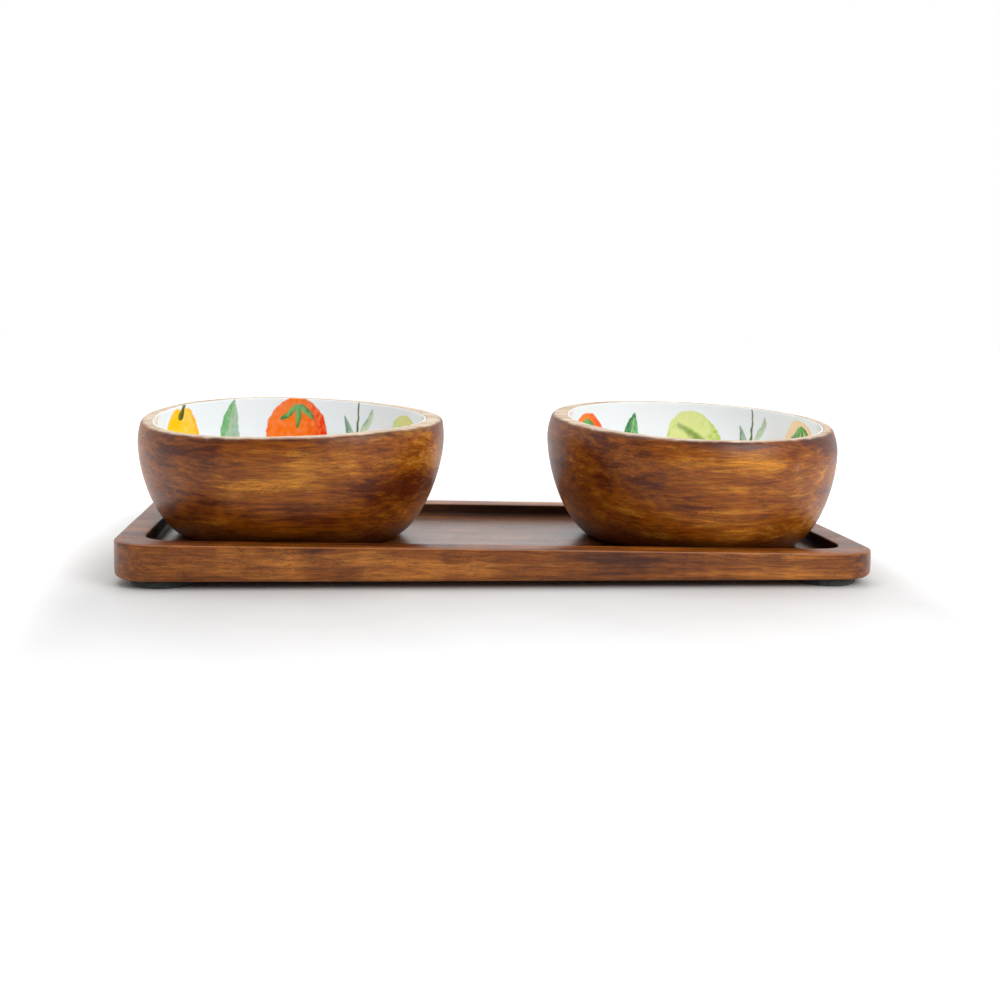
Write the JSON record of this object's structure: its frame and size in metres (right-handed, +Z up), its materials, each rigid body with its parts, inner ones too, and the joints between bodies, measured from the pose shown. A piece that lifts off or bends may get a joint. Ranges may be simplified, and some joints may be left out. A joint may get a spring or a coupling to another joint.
{
  "type": "chip and dip server",
  "caption": "Shallow rectangular wooden serving tray on felt feet, holding loose round hand-shaped wooden dip bowls with glossy white printed enamel linings.",
  "frame": {"origin": "centre of the overall box at table level, under the middle of the tray", "axes": "+X along the tray towards the thinner right end, -Y is the front, +Z up"},
  "size_m": [0.305, 0.1298, 0.0662],
  "materials": {
    "tray_wood": "dark walnut-brown stain under satin to gloss lacquer, open pores",
    "bowl_wood": "warm brown stain with honey patches under satin lacquer, rim sanded back to pale wood",
    "enamel_lining": "high gloss white enamel with a watercolour vegetable print",
    "felt_foot": "matt charcoal pressed felt",
    "adhesive_film": "translucent adhesive film"
  },
  "bodies": {
    "tray": {"tray": "tray_wood", "foot_front_left": "felt_foot", "foot_front_right": "felt_foot", "foot_rear_left": "felt_foot", "foot_rear_right": "felt_foot", "foot_adhesive_front_left": "adhesive_film", "foot_adhesive_front_right": "adhesive_film", "foot_adhesive_rear_left": "adhesive_film", "foot_adhesive_rear_right": "adhesive_film"},
    "left_bowl": {"left_bowl": "bowl_wood", "left_bowl_lining": "enamel_lining"},
    "right_bowl": {"right_bowl": "bowl_wood", "right_bowl_lining": "enamel_lining"}
  },
  "joints": [
    {"name": "left_bowl_lift", "type": "slide", "parent": "tray", "child": "left_bowl", "axis": [0, 0, 1], "range_m": [0, 0.1]},
    {"name": "right_bowl_lift", "type": "slide", "parent": "tray", "child": "right_bowl", "axis": [0, 0, 1], "range_m": [0, 0.1]}
  ]
}
